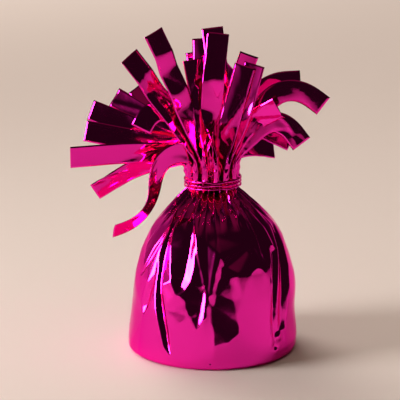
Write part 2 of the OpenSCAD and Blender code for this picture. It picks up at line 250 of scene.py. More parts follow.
BACK_SHIFT = 2.5
BACK_WAVE = 9
BACK_DEPTH = 0.9
LOW_CREASE = 2.5

# The flat map of the bag that is cut into facets: how far round it runs and how many degrees
# are as wide as a millimetre of height, and how close two places count as one. A place where
# creases cross takes the mean of its nearest points

MAP_REACH = 270
MAP_DEGREES = 2
MAP_JOIN = 1e-4
MAP_SLACK = 1e-6
MAP_NO_AREA = 1e-9
NEAREST = 3

# How far each strip's front face tilts up from the CAD solid's, in degrees, half way along
# it and at its tip, and how far the strip is turned to face the front. The tilts grow from
# the first of the three places, which are shares of its length

STRIP_TILTS = (
    (0, 12, 0), (0, 8, 0), (0, 0, 0), (0, 0, 0), (0, 0, 0),
    (0, 0, 0), (0, 0, 0), (0, 0, 0), (8, 8, 0), (0, 0, 60),
    (0, 0, 20), (6, 6, 45), (10, 10, 12), (10, 10, 0), (12, 12, 0),
    (14, 14, 0), (-4, -4, 0), (24, 28, 0), (0, 0, 0), (12, 16, 6),
    (12, 16, 20), (8, 8, 45), (10, 14, 0), (4, 4, 78), (0, 0, 38),
    (6, 6, 22), (14, 14, 30), (0, 10, 0), (0, 10, 0), (0, 0, 0),
)
TILT_PLACES = (0.12, 0.5, 1)

# How the strips bow along their length, by the strip's number: places as shares of it, and
# degrees by which the front face leans back there

STRIP_BOWS = {
    5: ((0.3, 0), (0.6, -10), (1, -14)),
    10: ((0.5, 0), (0.6, 9), (1, 9)),
    11: ((0.15, 0), (0.3, 7), (0.8, 9), (0.96, 9), (0.98, -6), (1, -6)),
    20: ((0.15, 0), (0.25, 9), (0.42, 9), (0.47, -6), (0.52, 9), (0.7, 10), (0.74, -9), (0.82, -9),
         (0.86, 10), (1, 7)),
    21: ((0.15, 0), (0.25, 9), (0.5, 9), (0.53, -7), (0.58, -7), (0.62, 12), (0.74, 12), (0.77, -8),
         (0.84, -8), (0.87, 13), (1, 9)),
    22: ((0.3, 0), (0.4, 14), (1, 14)),
    24: ((0.2, 0), (0.3, 16), (0.48, 16), (0.5, 0), (0.68, 0), (0.71, 15), (1, 15)),
    25: ((0.2, 0), (0.3, 12), (0.8, 14), (1, 16)),
    26: ((0.15, 0), (0.3, 8), (1, 9)),
    27: ((0.15, 0), (0.3, 12), (0.72, 13), (0.76, -5), (1, -5)),
    28: ((0.15, 0), (0.3, 6), (0.6, 6), (0.7, 0)),
    29: ((0.2, 0), (0.3, 10), (0.75, 10), (1, 3)),
    30: ((0.15, 0), (0.25, 7), (0.45, 7), (0.48, -6), (0.64, -6), (0.68, 10), (1, 10)),
}

# Pleats at the neck: how many, where the first one stands (degrees), the height at which
# they begin and the power by which they deepen. They swing to the sides in waves (degrees,
# waves round, degrees of its start). Each has its own share of the depth, in a range, and
# they even out over a run below the tie

NECK_PLEATS = 24
PLEAT_OFFSET = 4
PLEAT_FROM_Z = 49 * MM
PLEAT_POWER = 1.5
PLEAT_SWINGS = ((2.2, 3, 40), (1.4, 5, 0))
PLEAT_SHARES = (0.62, 1.0)
PLEAT_EVEN_RUN = 4 * MM

# The grid that the bag is worked out on, and how often its facets and pleats are eased. The
# facets fade out over a run above the base. Under the tie and a little below it the film
# stays inside the cord. The cup's radius at a height is the greatest in a narrow band there

BAG_SEED = 7
BAG_COLUMNS = 528
BAG_ROWS = 150
COLLAR_ROWS = 14
BASE_ROWS = 10
FACET_EASE = 2
PLEAT_EASE = 1
BASE_FADE = 3 * MM
TIE_MARGIN = 0.5 * MM
LEVEL_BAND = 0.1 * MM

# Chance ripples of the bag: how many waves are added up, the most waves round, and the
# wavelength in height (mm). The crinkles are only near the neck. Every set has a least number
# of waves round, a range for its wavelength, a sway to the sides, and is scaled to about 1

CRINKLE_WAVES = (14, 90, 3)
CRINKLE_FROM_Z = 54 * MM
CRINKLE_RUN = 8 * MM
BODY_WAVES = (10, 24, 14)
LEAST_WAVES_ROUND = 3
WAVELENGTH_SHARES = (0.5, 2.0)
WAVE_SWAY = 0.8
WAVE_SCALE = 1.5

# The film under the base: where its first ring stands (in rows), and the height, number and
# twist of its wrinkles

BASE_FIRST_ROW = 0.35
WRINKLE = 0.12 * MM
WRINKLES_ROUND = 34
WRINKLE_TWIST = 3

# The strips' run from the neck, as the CAD solids have it: width, length of the longest one,
# where its foot stands and where it starts to lean, then over what run or share of its length
# it leans, swings, bends, flicks and turns, and where a springy one flexes

STRIP_COUNT = 30
STRIP_W = 8 * MM
STRIP_REACH = 62 * MM
STRIP_FOOT_R = 6 * MM
STRIP_FROM = 2.575 * MM
LEAN_RUN = 14 * MM
SWING_RUN_SHARE = 1.6
BEND_HALF_SHARE = 0.22
FLICK_FROM_SHARE = 0.5
TURN_FROM_SHARE = 0.2
TURN_RUN_SHARE = 0.6
FLEX_AT = 16 * MM

# How a strip's mesh is made: where it starts, its rows and columns, and the steps in which
# its line and its pose are worked out

STRIP_SEED = 100
STRIP_START = 1.2 * MM
STRIP_ROWS = 64
STRIP_COLUMNS = 10
LINE_STEPS = 1240
POSE_STEPS = 900

# A strip's curl across its width, as a share of the greatest, and where it begins and the
# run over which it grows. Chance creases across it: how many, and the ranges of their place,
# slope and half width. One more runs along it, with a range for its place and its half width.
# All of these but the count are shares of the length or of half the width

CURL_SHARES = (0.3, 1)
CURL_FROM = 0.15
CURL_RUN = 0.4
CROSS_CREASES = 3
CREASE_PLACES = (0.3, 0.95)
CREASE_SLOPES = (-0.35, 0.35)
CREASE_WIDTHS = (0.05, 0.12)
LONG_CREASE_DEPTHS = (0.3, 1)
LONG_CREASE_PLACES = (-0.5, 0.5)
LONG_CREASE_WIDTH = 0.5

# The crumpled film near the neck: height of the crumples at the strips' roots, how far up
# they run and fade, and how many waves of what length (mm) they are added up from

ROOT_CRINKLE = 0.12 * MM
ROOT_CRINKLE_TO = 8 * MM
ROOT_CRINKLE_FADE = 16 * MM
CRUMPLE_WAVES = 7
CRUMPLE_LENGTHS = (2, 5)
CRUMPLE_SCALE = 3

# The uncut film between two strips' roots: how far it reaches and how uneven that is, its
# notch and bulge as shares, its crumples, and how far towards a strip's edge it is joined

WEB_SEED = 31
WEB_REACH = 13.5 * MM
WEB_REACH_SHARES = (0.85, 1.1)
WEB_ROWS = 24
WEB_COLUMNS = 6
WEB_PATH_SHARE = 1.2
WEB_PATH_STEPS = 60
WEB_BULGE = 0.3
WEB_BULGE_SHARES = (0.4, 1.5)
WEB_NOTCH = 0.3
WEB_CRINKLE = 0.3 * MM
WEB_SIDES = (-0.45, 0.2)

# The tie's cord, wound as the CAD solid is. It wavers up and down (height, and two waves for
# each radian), and its cut is uneven: share of the full radius, then depth, lobes round it
# and twist from one centre to the next

TIE_D = 0.8 * MM
TIE_PITCH = 1.25 * MM
TIE_TURNS = 3
TIE_TAIL = 2.6 * MM
TIE_STEPS = 64
TIE_SIDES = 12
TIE_WAVER = 0.2 * MM
TIE_WAVES = (7.3, 2.1)
CORD_SHARE = 0.86
CORD_LOBES = ((0.22, 2, 0.55), (0.14, 3, -1.7))

# Finishes of the film: ripples in a metre and share of the finer ones. The tie's cord is
# metallised too, with finer and deeper ripples and a rougher face

BAG_RIPPLES = (60, 0.1)
FRINGE_RIPPLES = (110, 0.2)
TIE_RIPPLES = (500, 0.5)
TIE_RIPPLE_DEPTH = 0.3 * MM
TIE_ROUGHNESS = 0.16
COAT_ROUGHNESS = 0.06

# The two ends of a noise that set the two ends of a gloss

NOISE_ENDS = (0.3, 0.7)

# Finishes of the rigid pieces: dark and light colour, grains in a metre, depth and roughness

CORE_FINISHES = {
    "cup plastic": ((0.72, 0.72, 0.70), (0.80, 0.80, 0.78), 600, 0.02 * MM, 0.35),
    "cast filler": ((0.42, 0.39, 0.34), (0.62, 0.59, 0.53), 900, 0.2 * MM, 0.9),
    "white card": ((0.74, 0.73, 0.70), (0.82, 0.81, 0.78), 1500, 0.03 * MM, 0.7),
}
CORE_PIECES = {
    "weight_cup": "cup plastic", "cup_lid": "cup plastic",
    "ballast": "cast filler", "base_disc": "white card",
}

# Camera, floor and its paper

CAMERA_AT = (-4.8 * MM, -584.6 * MM, 192.0 * MM)
CAMERA_TO = (-4.8 * MM, 0, 57 * MM)
SENSOR_WIDTH = 36
FLOOR_REACH = 4
FLOOR_DARK_SHARE = 0.99
FLOOR_GRAIN = 30
FLOOR_ROUGHNESS = 0.9

# Lamps: setting of the power, place, target, size, colour, degrees of spread, and whether the
# film mirrors it. The window's place is degrees round from the front, degrees up and distance

WINDOW_PLACE = (-75, 16, 1.2)
MIDDLE = (0, 0, NECK_Z)
LAMPS = {
    "window": ("window_power", None, MIDDLE, (0.55, 0.64), (1, 0.97, 0.96), 60, True),
    "fill": ("fill_power", (0, -0.3, 2.4), MIDDLE, (3, 3), (1, 0.8, 0.66), 180, False),
    "far fill": (
        "far_power", (-1.4, 2.4, 2.0), (-0.5, 1.6, 0), (2.5, 2.5), (1, 0.93, 0.88), 180, False,
    ),
}

# Where the room that the film mirrors changes: parts of a unit direction where each begins
# and is full. The walls' light fades upward

CEILING_ENDS = (0.75, 0.97)
LEFT_ENDS = (-0.55, -0.9)
BACK_ENDS = (0.45, 0.9)
WALL_ENDS = (0.75, 0.2)


def smooth(x):
    """A ramp from 0 to 1 with level ends."""
    c = np.clip(x, 0, 1)
    return c * c * (3 - 2 * c)


def mesh_piece(name, points, faces, material, smooth_shading=True):
    """A new mesh object, linked into the scene."""
    mesh = bpy.data.meshes.new(name)
    mesh.from_pydata([tuple(p) for p in points], [], faces)
    mesh.polygons.foreach_set("use_smooth", [smooth_shading] * len(mesh.polygons))
    mesh.materials.append(material)
    mesh.update()
    if mesh.validate():
        raise RuntimeError(f"{name} came out with bad faces")
    obj = bpy.data.objects.new(name, mesh)
    bpy.context.scene.collection.objects.link(obj)
    return obj


def bell_radius(z):
    """Radius of the bell at a height, with the outline's corners eased above the base."""
    heights = np.array([row[0] for row in BELL_SHARES])
    shares = np.array([row[1] for row in BELL_SHARES])
    h = (np.asarray(z) - FILM_Z) / (BODY_TOP_Z - FILM_Z)
    spread = EASE_SHARE * smooth((h - EASE_FROM) / EASE_RAMP) * smooth((EASE_TO - h) / EASE_RAMP)
    steps = range(-EASE_STEPS, EASE_STEPS + 1)
    total = sum(np.interp(h + spread * k / EASE_STEPS, heights, shares) for k in steps)
    return NECK_R + (BASE_R - NECK_R) * total / len(steps)


def bag_creases():
    """Points (degrees from the front, height, how far out) and edges of the bag's facets.

    The back has the front's creases mirrored, shifted and a little shallower. The flat map
    runs on past the seam at the back on both sides, so that its two edges match.
    """
    points, edges = [], []

    def line(rows):
        marks = []
        for row in rows:
            if row not in points:
                points.append(row)
            marks.append(points.index(row))
        edges.extend(zip(marks, marks[1:]))

    for crease in CREASES:
        line([(float(a), float(z), d) for a, z, d in crease[1:]])
        for seam in (180.0, -180.0):
            line([
                (seam - a, max(LOW_CREASE, z + BACK_SHIFT * math.sin(a / BACK_WAVE)), BACK_DEPTH * d)
                for a, z, d in crease[1:]
            ])
    for crease in SIDE_CREASES:
        for turn in (-360.0, 0.0, 360.0):
            line([(a + turn, float(z), d) for a, z, d in crease[1:] if abs(a + turn) <= MAP_REACH])
    low, high = FILM_Z / MM, BODY_TOP_Z / MM
    reach = MAP_REACH * NECK_PLEATS // 180
    for k in range(-reach, reach + 1):
        azimuth = 180.0 * k / NECK_PLEATS
        line([(azimuth, high, 0.0)])
        line([(azimuth, low, 0.0)])
        if k % 2 == 0:
            line([(azimuth, LOW_CREASE, 0.0)])
    return points, edges


def facet_heights(azimuths, heights, flatness):
    """How far the creased film stands out from the bell (metres) over a grid of places."""
    rows, edges = bag_creases()
    flat = [Vector((a / MAP_DEGREES, z)) for a, z, d in rows]
    verts, _, tris, origins, _, _ = delaunay_2d_cdt(flat, edges, [], 0, MAP_JOIN)
    depth = []
    for v, source in zip(verts, origins):
        if source:
            depth.append(rows[source[0]][2])
        else:
            reach = sorted((v - w).length for w in flat)[NEAREST - 1]
            near = [row[2] for row, w in zip(rows, flat) if (v - w).length <= reach]
            depth.append(sum(near) / len(near))
    az = np.array([MAP_DEGREES * v.x for v in verts])
    z = np.array([v.y for v in verts])
    depth = np.array(depth)
    bell = bell_radius(z * MM) / MM
    out = np.zeros((len(heights), len(azimuths)))
    hz = heights / MM
    bell_here = bell_radius(heights) / MM
    for tri in tris:
        i, j, k = tri
        cols, lines = (
            np.nonzero((grid >= min(place[tri,]) - MAP_SLACK) & (grid <= max(place[tri,]) + MAP_SLACK))[0]
            for grid, place in ((azimuths, az), (hz, z))
        )
        if not len(cols) or not len(lines):
            continue
        x, y = np.meshgrid(azimuths[cols], hz[lines])
        det = (z[j] - z[k]) * (az[i] - az[k]) + (az[k] - az[j]) * (z[i] - z[k])
        if abs(det) < MAP_NO_AREA:
            continue
        p = ((z[j] - z[k]) * (x - az[k]) + (az[k] - az[j]) * (y - z[k])) / det
        q = ((z[k] - z[i]) * (x - az[k]) + (az[i] - az[k]) * (y - z[k])) / det
        r = 1 - p - q
        inside = (p > -MAP_SLACK) & (q > -MAP_SLACK) & (r > -MAP_SLACK)
        span = np.radians([az[j] - az[k], az[k] - az[i], az[i] - az[j]])
        sag = q * r * span[0] ** 2 + r * p * span[1] ** 2 + p * q * span[2] ** 2
        base = bell_here[lines][:, None]
        chord = p * bell[i] + q * bell[j] + r * bell[k] - base * (1 + sag / 2)
        value = p * depth[i] + q * depth[j] + r * depth[k] + flatness * chord
        block = out[np.ix_(lines, cols)]
        block[inside] = value[inside]
        out[np.ix_(lines, cols)] = block
    return out * MM


def eased(grid, passes):
    """The grid with its sharp edges rounded off a little. Columns run right round."""
    for _ in range(passes):
        grid = (np.roll(grid, 1, 1) + 2 * grid + np.roll(grid, -1, 1)) / 4
        padded = np.vstack([grid[:1], grid, grid[-1:]])
        grid = (padded[:-2] + 2 * grid + padded[2:]) / 4
    return grid


def ripples(rng, azimuths, heights, waves, turns, rows_mm):
    """Soft seeded ripples from about -1 to 1 over a grid, with up to `turns` waves round it."""
    total = np.zeros((len(heights), len(azimuths)))
    for _ in range(waves):
        n = int(rng.integers(LEAST_WAVES_ROUND, turns + 1))
        k = 2 * math.pi / (rng.uniform(*WAVELENGTH_SHARES) * rows_mm * MM)
        a, b = rng.uniform(0, 2 * math.pi, 2)
        sway = WAVE_SWAY * np.sin(k * heights[:, None] + b)
        total += np.sin(n * np.radians(azimuths)[None, :] + a + sway)
    return total / math.sqrt(waves) / WAVE_SCALE


def pleat_depth(azimuths, heights, rng):
    """How far the pleats fold in from the outline (metres) over a grid of places."""
    pitch = 360 / NECK_PLEATS
    swing = sum(reach * np.sin(np.radians(azimuths * n + start)) for reach, n, start in PLEAT_SWINGS)
    place = (azimuths + swing - PLEAT_OFFSET) / pitch
    uneven = rng.uniform(*PLEAT_SHARES, NECK_PLEATS)
    share = uneven[np.floor(place + 0.5).astype(int) % NECK_PLEATS]
    fold = 2 * np.abs(place - np.floor(place + 0.5))
    grow = np.clip((heights - PLEAT_FROM_Z) / (BODY_TOP_Z - PLEAT_FROM_Z), 0, 1) ** PLEAT_POWER
    even = smooth((heights - BODY_TOP_Z + PLEAT_EVEN_RUN) / PLEAT_EVEN_RUN)[:, None]
    deepest = (NECK_R - NECK_CORE_R) * grow[:, None]
    return deepest * fold[None, :] * (share[None, :] * (1 - even) + even)


def core_radius(heights):
    """Outer radius of the cup and its lid at each height, and 0 above them."""
    reach = np.zeros(len(heights))
    for name in ("weight_cup", "cup_lid"):
        co = np.array([v.co for v in frame["nodes"][name].data.vertices])
        ring = np.hypot(co[:, 0], co[:, 1])
        levels = np.unique(np.round(co[:, 2], 5))
        widest = np.array([ring[np.abs(co[:, 2] - z) < LEVEL_BAND].max() for z in levels])
        reach = np.maximum(reach, np.interp(heights, levels, widest, left=0, right=0))
    return reach


def apart(azimuths, middle):
    """Degrees between each azimuth and a middle one, the short way round."""
    return np.abs((azimuths - middle + 180) % 360 - 180)


def swell(azimuths, heights):
    """How far the bag bulges to the right (metres)."""
    up = ((heights - FILM_Z) / (BODY_TOP_Z - FILM_Z) - SWELL_FROM) / (SWELL_TO - SWELL_FROM)
    ends = smooth(np.minimum(up, 1 - up) / SWELL_RAMP)
    return SWELL_OUT * ends[:, None] * smooth(1 - apart(azimuths, SWELL_AT) / SWELL_SPREAD)[None, :]


def dents(azimuths, heights):
    """The small dents and blisters near the base, and the pulled-in hem (metres)."""
    total = np.zeros((len(heights), len(azimuths)))
    for azimuth, z, radius, out in DENTS:
        across = np.radians(apart(azimuths, azimuth)) * BASE_R / MM
        away = np.hypot(across[None, :], (heights / MM - z)[:, None]) / radius
        total += out * MM * np.clip(1 - away**2, 0, 1) ** DENT_POWER
    low = smooth(1 - (heights - FILM_Z) / HEM_HEIGHT)[:, None]
    return total - HEM_DEPTH * (low * smooth(1 - apart(azimuths, HEM_AT) / HEM_SPREAD))


def pinches(azimuths, heights):
    """The narrow pinched lines that run down from the neck, front and back (metres)."""
    total = np.zeros((len(heights), len(azimuths)))
    for out, half, *line in PINCHES:
        az = np.array([a for a, _ in line])[::-1]
        z = np.array([z for _, z in line])[::-1] * MM
        ends = smooth(np.minimum(heights - z[0], z[-1] - heights) / PINCH_END)[:, None]
        front = np.interp(heights, z, az)
        for middle in (front, 180 - front):
            away = apart(azimuths[None, :], middle[:, None])
            total += out * MM * ends * np.clip(1 - away / half, 0, 1)
    return total


def bag_surface(look):
    """Points of the bag, row by row: the underside, the bell, and the collar under the tie."""
    rng = np.random.default_rng(BAG_SEED)
    azimuths = np.linspace(-180, 180, BAG_COLUMNS, endpoint=False)
    heights = FILM_Z + (BODY_TOP_Z - FILM_Z) * np.linspace(0, 1, BAG_ROWS)
    collar = BODY_TOP_Z + (COLLAR_Z - BODY_TOP_Z) * np.linspace(0, 1, COLLAR_ROWS + 1)[1:]
    level = np.concatenate([heights, collar])
    stand = np.zeros((len(level), BAG_COLUMNS))
    stand[:BAG_ROWS] = facet_heights(azimuths, heights, look.flatness) + pinches(azimuths, heights)
    fade = smooth((level - FILM_Z) / BASE_FADE)[:, None]
    stand = eased(stand, FACET_EASE) * fade
    film = bell_radius(np.minimum(level, BODY_TOP_Z))[:, None] + stand
    film += swell(azimuths, level) + dents(azimuths, level)
    film -= eased(pleat_depth(azimuths, level, rng), PLEAT_EASE)
    crinkle = smooth((level - CRINKLE_FROM_Z) / CRINKLE_RUN)[:, None]
    film += look.crinkle * crinkle * ripples(rng, azimuths, level, *CRINKLE_WAVES)
    film += look.ripple * fade * ripples(rng, azimuths, level, *BODY_WAVES)
    under_tie = level[:, None] > BODY_TOP_Z - TIE_MARGIN
    film = np.where(under_tie, np.minimum(film, NECK_R), film)
    film = np.maximum(film, core_radius(level)[:, None] + 2 * look.thickness)
    turn = np.radians(azimuths - 90)
    rim = film[0]
    rows = []
    for k in range(BASE_ROWS):
        share = (k + BASE_FIRST_ROW) / BASE_ROWS
        wave = 1 + np.sin(np.radians(azimuths) * WRINKLES_ROUND + WRINKLE_TWIST * share)
        z = FILM_Z + WRINKLE * share * (1 - share) * 4 * wave
        rows.append(np.stack([rim * share * np.cos(turn), rim * share * np.sin(turn), z], 1))
    for r, z in zip(film, level):
        rows.append(np.stack([r * np.cos(turn), r * np.sin(turn), np.full(BAG_COLUMNS, z)], 1))
    return rows


def rings_to_faces(count, columns):
    """Quads between closed rings of points, wound to face outward as the rings climb."""
    faces = []
    for low in range(0, (count - 1) * columns, columns):
        high = low + columns
        for j in range(columns):
            k = (j + 1) % columns
            faces.append((low + j, low + k, high + k, high + j))
    return faces


def sheet_to_faces(start, rows, columns):
    """Quads between rows of points numbered from `start`, each a point longer than its columns."""
    faces = []
    for i in range(rows - 1):
        for j in range(columns):
            low = start + i * (columns + 1) + j
            high = low + columns + 1
            faces.append((low, low + 1, high + 1, high))
    return faces


def thicken(obj, thickness):
    """Gives a sheet of film its thickness, inward from its face."""
    shell = obj.modifiers.new("thickness", "SOLIDIFY")
    shell.thickness = thickness
    shell.offset = -1
    apply_modifiers(obj)


def apply_modifiers(obj):
    """Turns what the modifiers make into the object's own mesh."""
    seen = obj.evaluated_get(bpy.context.evaluated_depsgraph_get())
    made = bpy.data.meshes.new_from_object(seen)
    old = obj.data
    obj.modifiers.clear()
    obj.data = made
    made.name = old.name
    bpy.data.meshes.remove(old)


# Strips

def climb(k, s):
    """Slope of strip k, in degrees above level, at distances s along it."""
    lean, _, bend, _, flick = STRIP_ANGLES[k]
    share, at = STRIP_SHARES[k]
    u = s / (STRIP_REACH * share)
    return (
        90 + (lean - 90) * smooth((s - STRIP_FROM) / LEAN_RUN)
        - bend * smooth((u - at + BEND_HALF_SHARE) / (2 * BEND_HALF_SHARE))
        + flick * smooth((u - FLICK_FROM_SHARE) / (1 - FLICK_FROM_SHARE))
    )


def strip_frame(k, s):
    """Direction along strip k and across it, at distances s."""
    azimuth = 360 / STRIP_COUNT * (k + 0.5)
    e = np.radians(climb(k, s))
    swing = STRIP_ANGLES[k][1] * smooth((s - STRIP_FROM) / (SWING_RUN_SHARE * LEAN_RUN))
    a = np.radians(azimuth + swing)
    u = s / (STRIP_REACH * STRIP_SHARES[k][0])
    t = np.radians(90 + (STRIP_ANGLES[k][3] - 90) * smooth((u - TURN_FROM_SHARE) / TURN_RUN_SHARE))
    along = np.stack([np.cos(e) * np.cos(a), np.cos(e) * np.sin(a), np.sin(e)], 1)
    level = np.stack([-np.sin(a), np.cos(a), 0 * a], 1)
    steep = np.stack([-np.sin(e) * np.cos(a), -np.sin(e) * np.sin(a), np.cos(e)], 1)
    return along, np.cos(t)[:, None] * level + np.sin(t)[:, None] * steep


def strip_pose(k, s):
    """Middle line, direction across and face direction of strip k, tilted, turned and bowed."""
    fine = np.linspace(0, STRIP_REACH, POSE_STEPS)
    u = fine / (STRIP_REACH * STRIP_SHARES[k][0])
    upper = (u >= 0.5) & (u <= 1)
    along, across = strip_frame(k, fine)
    face = np.cross(along, across)
    sign = -1 if face[upper, 1].sum() > 0 else 1
    aside = np.cross(along, sign * face)
    middle, tip, facing = STRIP_TILTS[k]
    turn = np.interp(u, TILT_PLACES, (0, middle, tip)) * (1 if aside[:, 2].sum() > 0 else -1)
    turn += np.interp(u, TILT_PLACES[:2], (0, facing)) * (-1 if aside[upper, 1].sum() > 0 else 1)
    turn = np.radians(turn)[:, None]
    across = np.cos(turn) * across + np.sin(turn) * face
    face = np.cross(along, across)
    places = np.array(STRIP_BOWS.get(k + 1, ((0, 0), (1, 0))))
    lean = np.radians(np.interp(u, places[:, 0], places[:, 1]))[:, None]
    line = strip_line(k, fine) - np.cumsum(sign * face * np.tan(lean), 0) * fine[1]
    return [along_path(s, fine, rows) for rows in (line, across, face)]


def strip_line(k, s):
    """Points on the middle line of strip k at distances s from the neck."""
    azimuth = math.radians(360 / STRIP_COUNT * (k + 0.5))
    foot = np.array([STRIP_FOOT_R * math.cos(azimuth), STRIP_FOOT_R * math.sin(azimuth), NECK_Z])
    fine = np.linspace(0, STRIP_REACH, LINE_STEPS)
    middle = (fine[1:] + fine[:-1]) / 2
    steps = strip_frame(k, middle)[0] * np.diff(fine)[:, None]
    return along_path(s, fine, foot + np.vstack([np.zeros(3), np.cumsum(steps, 0)]))


def along_path(s, fine, rows):
    """The rows, given at distances `fine` along a path, read off at distances s."""
    return np.stack([np.interp(s, fine, rows[:, i]) for i in range(3)], -1)


def strip_mesh(k, look, thickness, film):
    """One strip from the neck to its tip, a thin closed ribbon with a slight curl and creases."""
    rng = np.random.default_rng(STRIP_SEED + k)
    length = STRIP_REACH * STRIP_SHARES[k][0]
    s = np.linspace(STRIP_START, length, STRIP_ROWS)
    line, across, face = strip_pose(k, s)
    v = np.linspace(-1, 1, STRIP_COLUMNS + 1)
    u = s / length
    curl = rng.uniform(*CURL_SHARES) * rng.choice([-1, 1]) * look.curl
    lift = curl * (1 - v[None, :] ** 2) * smooth((u - CURL_FROM) / CURL_RUN)[:, None]
    for _ in range(CROSS_CREASES):
        at, slope = rng.uniform(*CREASE_PLACES), rng.uniform(*CREASE_SLOPES)
        depth, reach = rng.uniform(-1, 1) * look.crease, rng.uniform(*CREASE_WIDTHS)
        lift = lift + depth * np.maximum(0, 1 - np.abs(u[:, None] - at - slope * v[None, :]) / reach)
    side = rng.uniform(*LONG_CREASE_PLACES)
    ridge = np.maximum(0, 1 - np.abs(v - side) / LONG_CREASE_WIDTH)[None, :]
    lift = lift + rng.uniform(*LONG_CREASE_DEPTHS) * look.crease * ridge * (1 - u[:, None])
    near = 1 - smooth((s - ROOT_CRINKLE_TO) / ROOT_CRINKLE_FADE)
    lift = lift + ROOT_CRINKLE * near[:, None] * crumple(rng, s[:, None], v[None, :] * STRIP_W / 2)
    points = line[:, None] + across[:, None] * v[None, :, None] * STRIP_W / 2
    points = points + face[:, None] * lift[..., None]
    faces = [(a, d, c, b) for a, b, c, d in sheet_to_faces(0, STRIP_ROWS, STRIP_COLUMNS)]
    obj = mesh_piece(f"fringe_{k + 1:02d}", points.reshape(-1, 3), faces, film)
    thicken(obj, thickness)
    return obj


def crumple(rng, along, across):
    """Seeded crumples from about -1 to 1 over places on the film, in metres along and across."""
    total = 0
    for _ in range(CRUMPLE_WAVES):
        turn, wave = rng.uniform(0, math.pi), rng.uniform(*CRUMPLE_LENGTHS) * MM
        place = (along * math.cos(turn) + across * math.sin(turn)) / wave + rng.uniform(0, 1)
        total = total + 4 * np.abs(place - np.floor(place + 0.5)) - 1
    return total / CRUMPLE_SCALE


def root_web(film, thickness):
    """The uncut film just above the tie, which joins each strip's edges to its neighbours'."""
    span = np.linspace(0, 1, WEB_ROWS)[:, None]
    x = np.linspace(0, 1, WEB_COLUMNS + 1)[None, :]
    fine = np.linspace(0, WEB_PATH_SHARE * WEB_REACH, WEB_PATH_STEPS)
    rng = np.random.default_rng(WEB_SEED)
    points, faces = [], []
    for k in range(STRIP_COUNT):
        side = -1 if k % 2 == 0 else rng.uniform(*WEB_SIDES)
        lines, edges = [], []
        for strip in (k, (k + 1) % STRIP_COUNT):
            line, across, _ = strip_pose(strip, fine)
            lines.append(line)
            edges.append(line + side * STRIP_W / 2 * across)
        reach = WEB_REACH * rng.uniform(*WEB_REACH_SHARES) * (1 - WEB_NOTCH * np.sin(math.pi * x))
        s = STRIP_START + (reach - STRIP_START) * span
        one, other, low, high = (along_path(s, fine, rows) for rows in (*edges, *lines))
        gap = np.linalg.norm(other - one, axis=-1)
        out = (one + other) / 2 - (low + high) / 2
        out /= np.linalg.norm(out, axis=-1)[..., None]
        bulge = WEB_BULGE * rng.uniform(*WEB_BULGE_SHARES) * gap * np.sin(math.pi * x)
        bulge += WEB_CRINKLE * np.sin(math.pi * x) ** 0.5 * crumple(rng, s, gap * x)
        faces.extend(sheet_to_faces(len(points), WEB_ROWS, WEB_COLUMNS))
        points.extend((one + (other - one) * x[..., None] + out * bulge[..., None]).reshape(-1, 3))
    web = mesh_piece("fringe_root", points, faces, film)
    thicken(web, thickness)
    return web


# Tie

def cord_mesh(name, centres, outward, radius, sides, material):
    """A closed cord along a line of centres. Each centre has an outward direction."""
    up = np.array([0, 0, 1.0])
    points = []
    for i, (centre, out) in enumerate(zip(centres, outward)):
        for j in range(sides):
            turn = 2 * math.pi * j / sides
            lobes = (depth * math.sin(n * turn + twist * i) for depth, n, twist in CORD_LOBES)
            size = CORD_SHARE * radius * sum(lobes, 1)
            points.append(centre + size * (math.cos(turn) * out + math.sin(turn) * up))
    faces = [(a, d, c, b) for a, b, c, d in rings_to_faces(len(centres), sides)]
    last = (len(centres) - 1) * sides
    faces.append(tuple(range(sides)))
    faces.append(tuple(last + j for j in reversed(range(sides))))
    return mesh_piece(name, points, faces, material)


def tie_line():
    """Centres and outward directions of the wound tie, with its two straight ends."""
    radius = NECK_R + TIE_CLEAR + TIE_D / 2
    u = np.linspace(0, 1, TIE_TURNS * TIE_STEPS + 1)
    a = math.pi / 2 + 2 * math.pi * TIE_TURNS * u
    rise = NECK_Z + TIE_TURNS * TIE_PITCH * (u - 0.5)
    wound = np.stack([radius * np.cos(a), radius * np.sin(a), rise], 1)
    tail = np.array([TIE_TAIL, 0, 0])
    tails = np.linspace(1, 0, TIE_STEPS // 4, endpoint=False)[:, None] * tail
    wound[:, 2] += TIE_WAVER * np.sin(TIE_WAVES[0] * a) * np.sin(TIE_WAVES[1] * a)
    centres = np.vstack([wound[0] + tails, wound, (wound[-1] - tails)[::-1]])
    out = np.stack([np.cos(a), np.sin(a), 0 * a], 1)
    outward = np.vstack([np.repeat(out[:1], len(tails), 0), out, np.repeat(out[-1:], len(tails), 0)])
    return centres, outward


# Materials

def add_node(tree, kind, inputs, **settings):
    """A node of a kind with its settings. An input gets a plain value or a link from a socket."""
    new = tree.nodes.new(kind)
    for key, value in settings.items():
        setattr(new, key, value)
    for socket, source in inputs.items():
        if isinstance(source, bpy.types.NodeSocket):
            tree.links.new(source, new.inputs[socket])
        else:
            new.inputs[socket].default_value = source
    return new


def add_math(tree, operation, first, second):
    """The result of a math node on two sockets or numbers."""
    return add_node(tree, "ShaderNodeMath", {0: first, 1: second}, operation=operation).outputs[0]


def add_mix(tree, share, first, second):
    """A colour between two others, by a share from 0 to 1."""
    inputs = {"Factor": share, "A": first, "B": second}
    return add_node(tree, "ShaderNodeMix", inputs, data_type="RGBA").outputs["Result"]


def group_tree(name, inputs, outputs):
    """A new shader node group with its sockets, and its two ends."""
    tree = bpy.data.node_groups.new(name, "ShaderNodeTree")
    for label, kind, value in inputs:
        socket = tree.interface.new_socket(name=label, in_out="INPUT", socket_type=kind)
        if value is not None:
            socket.default_value = value
    for label, kind in outputs:
        tree.interface.new_socket(name=label, in_out="OUTPUT", socket_type=kind)
    return tree, tree.nodes.new("NodeGroupInput"), tree.nodes.new("NodeGroupOutput")


